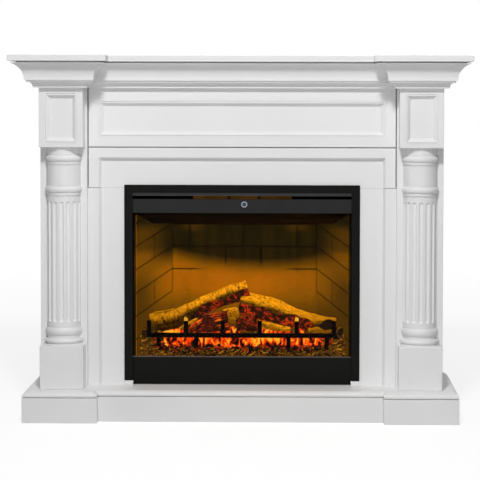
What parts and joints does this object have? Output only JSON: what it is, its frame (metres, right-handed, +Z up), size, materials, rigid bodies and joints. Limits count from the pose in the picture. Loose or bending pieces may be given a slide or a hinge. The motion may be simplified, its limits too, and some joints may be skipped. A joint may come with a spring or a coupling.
{
  "type": "fireplace mantelpiece",
  "caption": "White painted fireplace mantelpiece with fluted half columns, panelled frieze, crown moulding and stepped hearth around a black electric firebox.",
  "frame": {"origin": "on the floor at the middle of the bounding box", "axes": "+Z up, +X along the shelf to the right of someone facing the fire, front towards -Y, wall side +Y"},
  "size_m": [1.25, 0.35, 1],
  "materials": {
    "white_paint": "satin",
    "bare_wood": "matte",
    "case_steel": "matte",
    "black_trim": "satin",
    "grey_bar": "satin",
    "button_metal": "satin",
    "clear_glass": "polished",
    "white_plastic": "satin",
    "brick": "matte",
    "embers": "matte",
    "grate_iron": "matte",
    "log_resin": "matte",
    "black_rubber": "matte"
  },
  "bodies": {
    "root": {"shelf_board": "white_paint", "crown_centre": "white_paint", "crown_left_inner": "white_paint", "crown_right_inner": "white_paint", "crown_left_front": "white_paint", "crown_right_front": "white_paint", "crown_left_outer": "white_paint", "crown_right_outer": "white_paint", "frieze_panel": "white_paint", "frieze_moulding": "white_paint", "frieze_block_left": "white_paint", "frieze_block_right": "white_paint", "block_moulding_left": "white_paint", "block_moulding_right": "white_paint", "column_left": "white_paint", "column_right": "white_paint", "plinth_block_left": "white_paint", "plinth_block_right": "white_paint", "pilaster_board_left": "white_paint", "pilaster_board_right": "white_paint", "side_panel_left": "white_paint", "side_panel_right": "white_paint", "lintel_panel": "white_paint", "leg_left": "white_paint", "leg_right": "white_paint", "hearth_board": "white_paint", "apron_centre": "white_paint", "apron_left": "white_paint", "apron_right": "white_paint", "apron_side_left": "white_paint", "apron_side_right": "white_paint", "frieze_batten": "white_paint", "cleat_left": "white_paint", "cleat_right": "white_paint", "frieze_cleat_left": "white_paint", "frieze_cleat_right": "white_paint", "rear_rail_top": "bare_wood", "rear_rail_bottom": "bare_wood", "firebox_case": "case_steel", "trim_frame": "black_trim", "lip_bar": "grey_bar", "header_bar": "grey_bar", "round_button": "button_metal", "glass_pane": "clear_glass", "lower_skirt": "black_trim", "corner_block_left": "white_plastic", "corner_block_right": "white_plastic", "canopy_plate": "case_steel", "heater_box": "case_steel", "brick_back": "brick", "brick_left": "brick", "brick_right": "brick", "ember_bed": "embers", "fire_grate": "grate_iron", "log_left": "log_resin", "log_right": "log_resin", "log_front": "log_resin", "log_middle": "log_resin", "cable_grommet": "black_rubber"}
  },
  "joints": []
}
